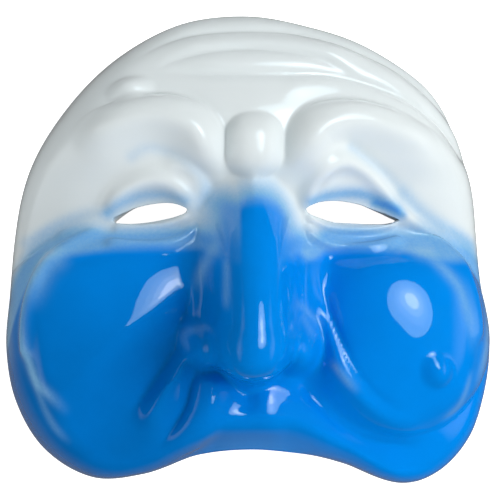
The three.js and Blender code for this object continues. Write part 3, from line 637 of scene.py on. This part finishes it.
# %% [markdown]
# ## Rounded edges and one closed shell
#
# A moulded shell has no knife edges: the rim and the slits are sanded round. A bevel would need the wall to be
# there first, so `round_edge` extrudes an open edge three times along a quarter circle, from the face that it
# ends towards the wall. At the rim it always goes straight down and then in or out, because the side walls lean
# in many ways. When the outer and the inner grid both have such an edge, `bridge_loops` closes the wall between
# them, once for the rim and once for each slit.

# %% Close the shell
EDGE_STEPS = 3  # faces across each rounded edge
GRID_RATIO = 0.45  # an inner edge has about this share of the outer one's vertices
RATIO_COUNTS = 20  # how much a wrong share counts, against millimetres between two edges' middles


def open_loops(bm):
    left = {e for e in bm.edges if e.is_boundary}
    loops = []
    while left:
        found, front = set(), [left.pop()]
        while front:
            e = front.pop()
            found.add(e)
            for v in e.verts:
                for other in v.link_edges:
                    if other in left:
                        left.remove(other)
                        front.append(other)
        loops.append(list(found))
    return sorted(loops, key=len, reverse=True)


def round_edge(bm, edges, radius, rim_side):
    onward, down, start = {}, {}, {}
    for e in edges:
        f = e.link_faces[0]
        loop = next(l for l in f.loops if l.edge == e)
        away = (loop.link_loop_next.vert.co - loop.vert.co).cross(f.normal)
        for v in e.verts:
            onward[v] = onward.get(v, Vector()) + away
            down[v] = down.get(v, Vector()) - f.normal * e.calc_length()
            start[v] = v.co.copy()
    for v in start if rim_side else ():
        onward[v], down[v] = Vector((0, 0, -1)), Vector((v.co.x, v.co.y, 0)) * rim_side
    for k in range(1, EDGE_STEPS + 1):
        angle = math.pi / 2 * k / EDGE_STEPS
        made = bmesh.ops.extrude_edge_only(bm, edges=edges)["geom"]
        twin = {}
        for v in (g for g in made if isinstance(g, bmesh.types.BMVert)):
            old = next(e.other_vert(v) for e in v.link_edges if e.other_vert(v) in start)
            twin[v] = old
        for v, old in twin.items():
            onward[v], down[v], start[v] = onward.pop(old), down.pop(old), start.pop(old)
            v.co = (start[v] + onward[v].normalized() * radius * math.sin(angle)
                    + down[v].normalized() * radius * (1 - math.cos(angle)))
        edges = [g for g in made if isinstance(g, bmesh.types.BMEdge)]
    return edges


outer.normal_update()
inner.normal_update()
for bm, side in ((outer, -1), (inner, 1)):
    for k, edges in enumerate(open_loops(bm)):
        round_edge(bm, edges, EDGE_ROUND, side if k == 0 else 0)
back = bpy.data.meshes.new("back")
inner.to_mesh(back)
outer.from_mesh(back)
bpy.data.meshes.remove(back)
loops = open_loops(outer)
middle = [sum((v.co for e in loop for v in e.verts), Vector()) / (2 * len(loop)) for loop in loops]
while loops:
    loop, here = loops.pop(0), middle.pop(0)
    near = min(range(len(loops)),
               key=lambda k: (middle[k] - here).length + RATIO_COUNTS * abs(len(loops[k]) / len(loop) - GRID_RATIO))
    bmesh.ops.bridge_loops(outer, edges=loop + loops.pop(near))
    middle.pop(near)
open_edges = sum(1 for e in outer.edges if not e.is_manifold)
print("closed shell:", len(outer.faces), "faces,", open_edges, "open edges")
print("volume of the shell:", round(outer.calc_volume(signed=True)), "mm3")

# %% [markdown]
# ## The shell as an object
#
# The bmesh becomes a mesh in metres, in the frame's own place, and rides on the frame's one body. It stands for
# the CAD shell, which stays hidden for collision.

# %% The shell as an object
def put_in_scene(name, data):
    made = bpy.data.objects.new(name, data)
    bpy.context.collection.objects.link(made)
    return made


for f in outer.faces:
    f.smooth = True
bmesh.ops.triangulate(outer, faces=[f for f in outer.faces if len(f.verts) > 4])
for v in outer.verts:
    v.co = ((v.co.x + TO_CENTRE[0]) * MM, (v.co.y + TO_CENTRE[1]) * MM, max(v.co.z, 0.0) * MM)
mesh = bpy.data.meshes.new("painted_shell")
outer.to_mesh(mesh)
outer.free()
inner.free()
shell = put_in_scene("painted_shell", mesh)
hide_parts("mask_shell")
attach(shell, "root")
print("triangles:", sum(len(p.vertices) - 2 for p in mesh.polygons))

# %% [markdown]
# ## Where the paint and the painted light go
#
# The mask is sprayed, so the paint has no drawn edge anywhere. White goes on first, all over the front. Blue is
# then sprayed from below up to the eyes, a little higher on the nose, and in thin strokes into the folds round
# the eyes. The fogs are pale lines in the blue, at the rings, along the rim, beside the nose and under the lip.
# Two of them are painted light: a painted reflection on the rim of the nose's left wing, and a painted highlight
# beside the right cheek's crease. Left of the nose bridge the blue is laid on thicker towards the nose, as
# painted shade. An image texture could do all this, but the share of the white that the blue hides, with these
# painted marks in it, is worked out at every vertex from its plan place, so that it follows the folds. A second
# layer is painted shade: it makes the blue darker towards the lower left, away from the light, and beside the
# left of the nose, in its shadow. The inside stays bare, apart from a little paint at the edges.

# %% Paint masks and painted light
# from left to right: how far up the blue begins, reaches its first strength and is full
BLUE_BEGINS = [
    (-92, -6), (-82, 6), (-76, 10), (-66, 12), (-58, 10.5), (-50, 8.5), (-24, 9.5), (24, 9), (50, 8.5), (58, 10),
    (66, 12), (76, 10), (84, 6), (92, 0)]
BLUE_HALF = [
    (-92, -24), (-82, -6), (-70, 0), (-58, 2.6), (-24, 2.8), (-14, 0), (16, 0), (22, -1.5), (28, 2.4), (48, 2.8),
    (62, 2), (72, -1.5), (84, -4), (92, -12)]
BLUE_FULL = [
    (-92, -42), (-82, -15), (-76, -9.5), (-66, -6.8), (-58, -5.4), (-50, -4.7), (-24, -4.6), (-14, -5), (16, -6),
    (22, -8.5), (28, -5.6), (40, -4.8), (52, -4.8), (60, -5.6), (66, -7), (72, -8.6), (84, -11), (92, -20)]
FIRST_PASS, SECOND_PASS = 0.77, 0.23  # share of the white that each pass of the spray gun hides
FULL_FADE = 4.0  # millimetres over which the second pass fades
# thin strokes of blue, then pale lines in it, two of them painted light: the line, its width, how much, and over what
# share its ends fade
STROKES = [
    # on the upper lids
    ([(22, 14.5), (29, 16.5), (38, 17.6), (45, 16.5), (50, 14.5), (54, 12.5)], 2.7, 0.62),
    ([(47, 14.2), (52, 13), (56, 10.6)], 1.9, 0.65),
    ([(-25, 14.8), (-33, 16.6), (-41, 16.4), (-48, 14.2), (-53, 11.2)], 2.7, 0.50),
    # from the outer corners of the eyes
    ([(-54, 10.5), (-62, 10.5), (-70, 8.2), (-78, 4.5), (-85, 1)], 2.6, 0.26),
    ([(58, 18), (63, 13.5), (70, 9), (78, 5), (85, 1)], 2.8, 0.36),
    # in the folds of the brows
    ([(36, 34.5), (43, 30), (50, 25.5), (56, 20.5)], 2, 0.18),
    ([(-44, 31), (-38, 33.8), (-30, 32), (-23.5, 28.5), (-18.5, 23.5), (-16, 15)], 2.3, 0.17),
    ([(-7, 25), (2, 26.5), (9, 25)], 2.6, 0.06),
]
FOGS_AND_PAINTED_HIGHLIGHTS = [
    # pale lines at the rings and along the rim
    ([(-70, -2), (-76, -6.5), (-81.5, -16.5), (-83.5, -26.5), (-83.5, -35), (-81.5, -43.5), (-78, -52),
      (-72, -57.5), (-65, -64)], 1.9, 0.27, (0.1, 0.3)),
    ([(-66, -3), (-75, -9), (-79.5, -19), (-80.5, -28)], 4, 0.16, (0.25, 0.5)),
    ([(-80.5, -45.5), (-77.5, -56.5), (-72, -67.5), (-65, -75)], 1.4, 0.10, (0.3, 0.3)),
    ([(-91, -20), (-91, -36), (-89, -50)], 2, 0.12, (0.3, 0.5)),
    ([(56, -3), (65.5, -5), (72, -11.5), (76.5, -17.5), (79, -25.5), (81, -34.5), (81.5, -43.5)],
     2.3, 0.16, (0.15, 0.4)),
    ([(82, -46), (78.5, -60), (70, -67)], 1.3, 0.10, (0.3, 0.3)),
    ([(91, -8), (91, -22), (89, -40), (84, -56)], 1.8, 0.16, (0.1, 0.3)),
    # streaks beside the nose, and two painted marks
    ([(-12, 4), (-16, -5), (-19, -12.5), (-21.5, -20)], 1.8, 0.14, (0.2, 0.4)),
    ([(-10, -2), (-10, -11.5), (-10.5, -21)], 1.2, 0.12, (0.2, 0.3)),
    ([(19, -2), (20.5, -9)], 2, 0.10, (0.3, 0.4)),
    ([(14, -20), (21, -27), (27, -32)], 1.2, 0.08, (0.3, 0.3)),
    ([(17, -26), (20, -30.5), (22.5, -35)], 1.2, 0.07, (0.3, 0.3)),
    # painted reflection: the light rim round the left wing of the nose
    ([(-24, -40), (-25.5, -34.5), (-23, -31), (-18, -29), (-13, -30)], 0.9, 0.06, (0.2, 0.3)),
    # painted highlight: a thin bright line beside the right cheek's crease
    ([(28.5, -41.5), (34, -48.5), (40, -55)], 1.2, 0.13, (0.4, 0.4)),
    # and under the lip
    ([(-26, -78), (0, -77), (26, -78)], 4.5, 0.05, (0.45, 0.4)),
]


def along_all(x, y, pieces):
    left = np.ones(x.shape)
    for line, width, amount, *ends in pieces:
        off, share = along_line(x, y, line)
        left *= 1 - amount * np.exp(-(off / width) ** 2) * (fade_ends(share, *ends) if ends else 1.0)
    return 1 - left


def read_layer(name):
    values = np.zeros(len(mesh.vertices))
    mesh.attributes[name].data.foreach_get("value", values)
    return values


def write_layer(name, values):
    layer = mesh.attributes.new(name, "FLOAT", "POINT")
    layer.data.foreach_set("value", np.clip(values, 0.0, 1.0).astype(np.float32))


x, y = read_layer("plan_x"), read_layer("plan_y")
begins, half, full = (read_table(table, x) for table in (BLUE_BEGINS, BLUE_HALF, BLUE_FULL))
cover_with_painted_light = FIRST_PASS * (1 - ease(half, begins, y)) + SECOND_PASS * (1 - ease(full, full + FULL_FADE, y))
on_nose = (1 - ease(14, 28, y + 0.047 * (x - 1) ** 2)) * (1 - ease(8, 24, x)) * (1 - ease(-4.0, -11.0, x))
# a veil of blue left of the nose bridge: partly paint, and partly painted shade that thickens it, most near the nose
left_of_nose_with_painted_shade = (0.74 + 0.15 * ease(-17, -9, x)) * (1 - ease(13, 24, y)) * (1 - ease(-9, -28, x)) * (x < 1)
cover_with_painted_light = 1 - (1 - cover_with_painted_light) * (1 - np.maximum(on_nose, left_of_nose_with_painted_shade)) * (1 - along_all(x, y, STROKES))
# the fogs make the blue paler; two of them are a painted highlight and a painted reflection
cover_with_painted_light *= 1 - along_all(x, y, FOGS_AND_PAINTED_HIGHLIGHTS)
write_layer("cover_with_painted_light", cover_with_painted_light)
# painted shade: the blue is darker towards the lower left, away from the light, and beside the left of the nose, in
# the nose's shadow
nose_shade = np.exp(-((x + 17) / 9) ** 2 - ((y + 14) / 20) ** 2)
write_layer("painted_shade", 0.12 + 0.78 * ease(35, -50, x) * ease(5, -50, y) + 0.45 * nose_shade)
print("blue covers", round(100 * float(np.mean(cover_with_painted_light > 0.5))), "% of the vertices")

# %% [markdown]
# ## Small tools for materials
#
# Sprayed paint is never quite even. The unevenness could be painted into an image, but a noise is sharp at any
# distance and needs no file. It is a node group, `clouds`, so that the white, the blue, the gloss and the skin of
# the lacquer can all use it, each at its own size. `node`, `feed`, `mix_colour` and `do_maths` save typing.

# %% Node groups
def node(tree, kind, **values):
    made = tree.nodes.new(kind)
    for key, value in values.items():
        if key in made.inputs:
            made.inputs[key].default_value = value
        else:
            setattr(made, key, value)
    return made


def feed(tree, socket, value):
    if isinstance(value, bpy.types.NodeSocket):
        tree.links.new(value, socket)
    else:
        socket.default_value = value


def mix_colour(tree, factor, a, b):
    mix = node(tree, "ShaderNodeMix", data_type="RGBA")
    for k, value in ((0, factor), (6, a), (7, b)):
        feed(tree, mix.inputs[k], value)
    return mix.outputs[2]


def do_maths(tree, operation, a, b, clamp=False):
    maths = node(tree, "ShaderNodeMath", operation=operation, use_clamp=clamp)
    feed(tree, maths.inputs[0], a)
    feed(tree, maths.inputs[1], b)
    return maths.outputs[0]


clouds = bpy.data.node_groups.new("clouds", "ShaderNodeTree")
for label, way in (("Size", "INPUT"), ("Amount", "INPUT"), ("Value", "OUTPUT")):
    clouds.interface.new_socket(name=label, in_out=way, socket_type="NodeSocketFloat")
clouds_in, clouds_out = clouds.nodes.new("NodeGroupInput"), clouds.nodes.new("NodeGroupOutput")
place = node(clouds, "ShaderNodeTexCoord")
noise = node(clouds, "ShaderNodeTexNoise", Detail=4.0, Roughness=0.55)
clouds.links.new(place.outputs["Object"], noise.inputs["Vector"])
clouds.links.new(clouds_in.outputs["Size"], noise.inputs["Scale"])
centred = do_maths(clouds, "SUBTRACT", noise.outputs["Fac"], 0.5)
clouds.links.new(do_maths(clouds, "MULTIPLY", centred, clouds_in.outputs["Amount"]), clouds_out.inputs["Value"])


def cloud(tree, size, amount):
    made = node(tree, "ShaderNodeGroup", node_tree=clouds)
    made.inputs["Size"].default_value, made.inputs["Amount"].default_value = size, amount
    return made.outputs["Value"]


print("node groups:", [g.name for g in bpy.data.node_groups])

# %% [markdown]
# ## The lacquered paint
#
# Two paints and one clear lacquer. The colour is mixed by the share of the white that the blue hides, painted
# highlights included, roughened a little by a fine noise, because a spray gun lays dots and not a sheet. Up to
# `THIN_FULL` the blue is a pale veil on the white, and beyond it the veil deepens to the full blue. The full blue
# turns towards its shaded copy by the painted shade layer, and a little by random clouds. The white isn't pure: it
# is a cool off-white with faint clouds in it. The lacquer is the shader's coat, with its own sharp reflection, and
# it isn't quite flat, like the skin of an orange. Only the coat shines. The paint under it has no reflection of
# its own, or the blue would look chalky.

# %% The paint
WHITE = (0.745, 0.800, 0.805, 1)
WHITE_DEEP = (0.71, 0.765, 0.775, 1)
BLUE = (0.000, 0.240, 0.79, 1)
# the blue in painted shade, also used for its random clouds
BLUE_SHADED_AND_MOTTLED = (0.000, 0.135, 0.45, 1)
THIN_BLUE = (0.21, 0.455, 0.72, 1)
INSIDE = (0.74, 0.73, 0.70, 1)
THIN_FULL = 0.7

paint = bpy.data.materials.new("lacquered_paint")
paint.use_nodes = True
tree = paint.node_tree
surface = tree.nodes["Principled BSDF"]
cover_with_painted_light_at, behind_at, painted_shade_at = (
    node(tree, "ShaderNodeAttribute", attribute_name=name).outputs["Fac"] for name in ("cover_with_painted_light", "behind", "painted_shade"))
white = mix_colour(tree, do_maths(tree, "ADD", cloud(tree, 30.0, 1.2), 0.3, True), WHITE, WHITE_DEEP)
# the blue is darkened by the painted shade layer, and a little by random clouds
blue = mix_colour(tree, do_maths(tree, "ADD", cloud(tree, 45.0, 0.4), painted_shade_at, True), BLUE, BLUE_SHADED_AND_MOTTLED)
thin = do_maths(tree, "MULTIPLY", cover_with_painted_light_at, do_maths(tree, "SUBTRACT", 1.0, cover_with_painted_light_at))
sprayed_with_painted_light = do_maths(tree, "ADD", cover_with_painted_light_at, do_maths(tree, "MULTIPLY", thin, cloud(tree, 900.0, 0.8)), True)
pale = mix_colour(tree, do_maths(tree, "DIVIDE", sprayed_with_painted_light, THIN_FULL, True), white, THIN_BLUE)
full = do_maths(tree, "MULTIPLY", do_maths(tree, "SUBTRACT", sprayed_with_painted_light, THIN_FULL), 1 / (1 - THIN_FULL), True)
front = mix_colour(tree, full, pale, blue)
tree.links.new(mix_colour(tree, behind_at, front, INSIDE), surface.inputs["Base Color"])
gloss = do_maths(tree, "ADD", 0.32, cloud(tree, 60.0, 0.10))
tree.links.new(do_maths(tree, "ADD", gloss, do_maths(tree, "MULTIPLY", behind_at, 0.4)), surface.inputs["Roughness"])
tree.links.new(do_maths(tree, "SUBTRACT", 1.0, behind_at, True), surface.inputs["Coat Weight"])
surface.inputs["Coat Roughness"].default_value = 0.04
surface.inputs["Coat IOR"].default_value = 1.3
surface.inputs["Specular IOR Level"].default_value = 0.0
skin = node(tree, "ShaderNodeBump", Strength=0.10, Distance=0.0004)
tree.links.new(cloud(tree, 420.0, 1.0), skin.inputs["Height"])
tree.links.new(skin.outputs["Normal"], surface.inputs["Normal"])
mesh.materials.append(paint)
print("paint:", len(tree.nodes), "nodes on", len(mesh.materials), "slot")

# %% [markdown]
# ## The table
#
# The mask lies on a big sheet of white paper. A plane with a grey diffuse colour and a little glow of its own
# stands for it: to the camera it is white, as in a well lit studio. Lacquer mirrors everything, and a white sheet
# that goes on for ever would make the blue milky, so the sheet looks dark to mirror rays except close to the rim.
# `soft_step` blends between two values without an edge.

# %% Floor
TABLE_GLOW = 0.05  # what the table gives to the mask
TABLE_SEEN = 1.00  # what it gives to the camera on top of that
TABLE_NEAR = 0.14  # what the lacquer mirrors of it close to the rim
NEAR_ENDS = (0.11, 0.19)  # metres from the middle over which that fades
TABLE_GREY, TABLE_MIRRORED = (0.55, 0.55, 0.55, 1), (0.015, 0.015, 0.015, 1)


def soft_step(tree, value, start, end, low, high):
    step = node(tree, "ShaderNodeMapRange", interpolation_type="SMOOTHSTEP")
    for k, number in enumerate((start, end, low, high)):
        step.inputs[k + 1].default_value = number
    tree.links.new(value, step.inputs[0])
    return step.outputs[0]


bm = bmesh.new()
bmesh.ops.create_grid(bm, x_segments=1, y_segments=1, size=3.0)
table_mesh = bpy.data.meshes.new("table")
bm.to_mesh(table_mesh)
bm.free()
table = put_in_scene("table", table_mesh)
sheet = bpy.data.materials.new("pale_table")
sheet.use_nodes = True
paper = sheet.node_tree
matt = paper.nodes["Principled BSDF"]
matt.inputs["Roughness"].default_value = 1.0
matt.inputs["Specular IOR Level"].default_value = 0.0
matt.inputs["Emission Color"].default_value = (1, 1, 1, 1)
ray = node(paper, "ShaderNodeLightPath").outputs
glow = do_maths(paper, "ADD", TABLE_GLOW, do_maths(paper, "MULTIPLY", ray["Is Camera Ray"], TABLE_SEEN))
spot = node(paper, "ShaderNodeVectorMath", operation="LENGTH")
paper.links.new(node(paper, "ShaderNodeTexCoord").outputs["Object"], spot.inputs[0])
near = soft_step(paper, spot.outputs["Value"], *NEAR_ENDS, TABLE_NEAR - TABLE_GLOW, -TABLE_GLOW)
glow = do_maths(paper, "ADD", glow, do_maths(paper, "MULTIPLY", ray["Is Glossy Ray"], near))
mirrored_table = mix_colour(paper, ray["Is Glossy Ray"], TABLE_GREY, TABLE_MIRRORED)
paper.links.new(mirrored_table, matt.inputs["Base Color"])
paper.links.new(glow, matt.inputs["Emission Strength"])
table_mesh.materials.append(sheet)
print("table:", round(table.dimensions.x, 2), "m across")

# %% [markdown]
# ## The light
#
# The photograph was lit by one big soft box, high on the right. A lamp behind a cloth is brightest in its middle,
# so the box is four ovals, each smaller and whiter than the one behind it, which gives every highlight a core.
# The box is only for the mirror: what makes the mask bright are five plain lamps round it that the lacquer
# doesn't show, and the soft light of the room.

# %% Light
TARGET = (0, 0, 0.05)  # all lamps look at the middle of the mask


def looking_along(away):
    back = away.normalized()
    right = Vector((0, 1, 0)).cross(back).normalized()
    return Matrix((right, back.cross(right), back)).transposed().to_euler()


def soft_light(name, place, size, energy, shape="RECTANGLE"):
    light = bpy.data.lights.new(name, "AREA")
    light.shape, light.size, light.size_y = shape, size[0], size[1]
    light.energy = energy
    lamp = put_in_scene(name, light)
    lamp.location = place
    lamp.rotation_euler = looking_along(Vector(place) - Vector(TARGET))
    return lamp


BOX_PLACE, BOX_SIZE, BOX_GAP = (0.43, 0.43, 1.20), (0.74, 1.10), 0.003
BOX_STEPS = [  # share of the box's size, watts, colour
    (1.0, 17.0, (0.70, 0.91, 1.0)), (0.72, 2.6, (0.8, 0.92, 1.0)), (0.5, 2.0, (0.9, 0.96, 1.0)),
    (0.28, 1.8, (1.0, 1.0, 1.0))]
for k, (share, energy, colour) in enumerate(BOX_STEPS):
    place = Vector(BOX_PLACE) * (1 - BOX_GAP * k)
    box = soft_light("soft_box", place, (BOX_SIZE[0] * share, BOX_SIZE[1] * share), energy, "ELLIPSE")
    box.data.color, box.visible_diffuse = colour, False
WALLS = [
    ("high_right", (0.95, 0.05, 1.10), 14.0), ("chin_wall", (0.0, -1.30, 0.60), 5.2),
    ("left_wall", (-1.30, 0.0, 0.60), 4.6), ("top_right", (0.90, 0.90, 0.70), 3.4),
    ("top_left", (-0.90, 0.90, 0.50), 0.8)]
for name, place, energy in WALLS:
    soft_light(name, place, (0.8, 0.8), energy).visible_glossy = False

# %% [markdown]
# ## The room
#
# The world is what every ray meets that misses the mask, the table and the lamps. `Light Path` tells mirror rays
# from the rest. To the paint the room is an even soft light. To the lacquer it is dark overhead, which keeps the
# blue deep, and bright far to the sides, which draws the pale lines on the steep walls.

# %% Room
ROOM_SOFT = 0.34  # soft light of the room
ROOM_DARK, ROOM_SIDES = 0.02, 2.2  # what the lacquer mirrors of the room, overhead and far left and right
SIDES_FADE, HORIZON_FADE = (0.78, 1.0), (-0.02, 0.3)  # how far sideways and upwards a ray points, of 1
world = bpy.data.worlds.new("studio")
world.use_nodes = True
bpy.context.scene.world = world
room = world.node_tree
direction = node(room, "ShaderNodeSeparateXYZ")
room.links.new(node(room, "ShaderNodeTexCoord").outputs["Generated"], direction.inputs[0])
sideways = soft_step(room, do_maths(room, "ABSOLUTE", direction.outputs["X"], 0.0), *SIDES_FADE, 0.0, ROOM_SIDES)
upwards = soft_step(room, direction.outputs["Z"], *HORIZON_FADE, 0.0, 1.0)
mirrored = do_maths(room, "ADD", ROOM_DARK, do_maths(room, "MULTIPLY", sideways, upwards))
room_ray = node(room, "ShaderNodeLightPath")
strength = node(room, "ShaderNodeMix", data_type="FLOAT")
room.links.new(room_ray.outputs["Is Glossy Ray"], strength.inputs[0])
strength.inputs[2].default_value = ROOM_SOFT
room.links.new(mirrored, strength.inputs[3])
background = room.nodes["Background"]
background.inputs["Color"].default_value = (0.95, 0.98, 1.0, 1)
room.links.new(strength.outputs[0], background.inputs["Strength"])
print("room:", len(room.nodes), "nodes")

# %% [markdown]
# ## The camera
#
# The photographer stood over the mask at about 70 cm, a little to the left of its middle and a little below it.
# The lens is worked out from the distance and from how much of the table the picture shows across.

# %% Camera
VIEW_LEFT, VIEW_DOWN = math.radians(2.0), math.radians(4.0)
DISTANCE = 0.690  # metres from the mask
SIGHT = Vector((TO_CENTRE[0] * MM, TO_CENTRE[1] * MM, 0.012))
WIDTH_SEEN = 0.1935  # metres across the picture at that distance
SENSOR = 36.0  # millimetres
PICTURE_SIDE, SHIFT_RIGHT, SHIFT_UP = 495, -0.5, 1.5  # in picture dots
camera = bpy.data.cameras.new("camera")
viewer = put_in_scene("camera", camera)
back = Vector((-math.tan(VIEW_LEFT), -math.tan(VIEW_DOWN), 1)).normalized()
viewer.location = SIGHT + back * DISTANCE
viewer.rotation_euler = looking_along(back)
camera.sensor_width = SENSOR
camera.lens = SENSOR * DISTANCE / WIDTH_SEEN
camera.shift_x, camera.shift_y = SHIFT_RIGHT / PICTURE_SIDE, SHIFT_UP / PICTURE_SIDE
print("lens:", round(camera.lens, 1), "mm")
bpy.context.scene.camera = viewer
bpy.context.scene.view_settings.view_transform = "Standard"

# %% [markdown]
# ## The last step
#
# The view layer is brought up to date.

# %% Update the view layer
bpy.context.view_layer.update()
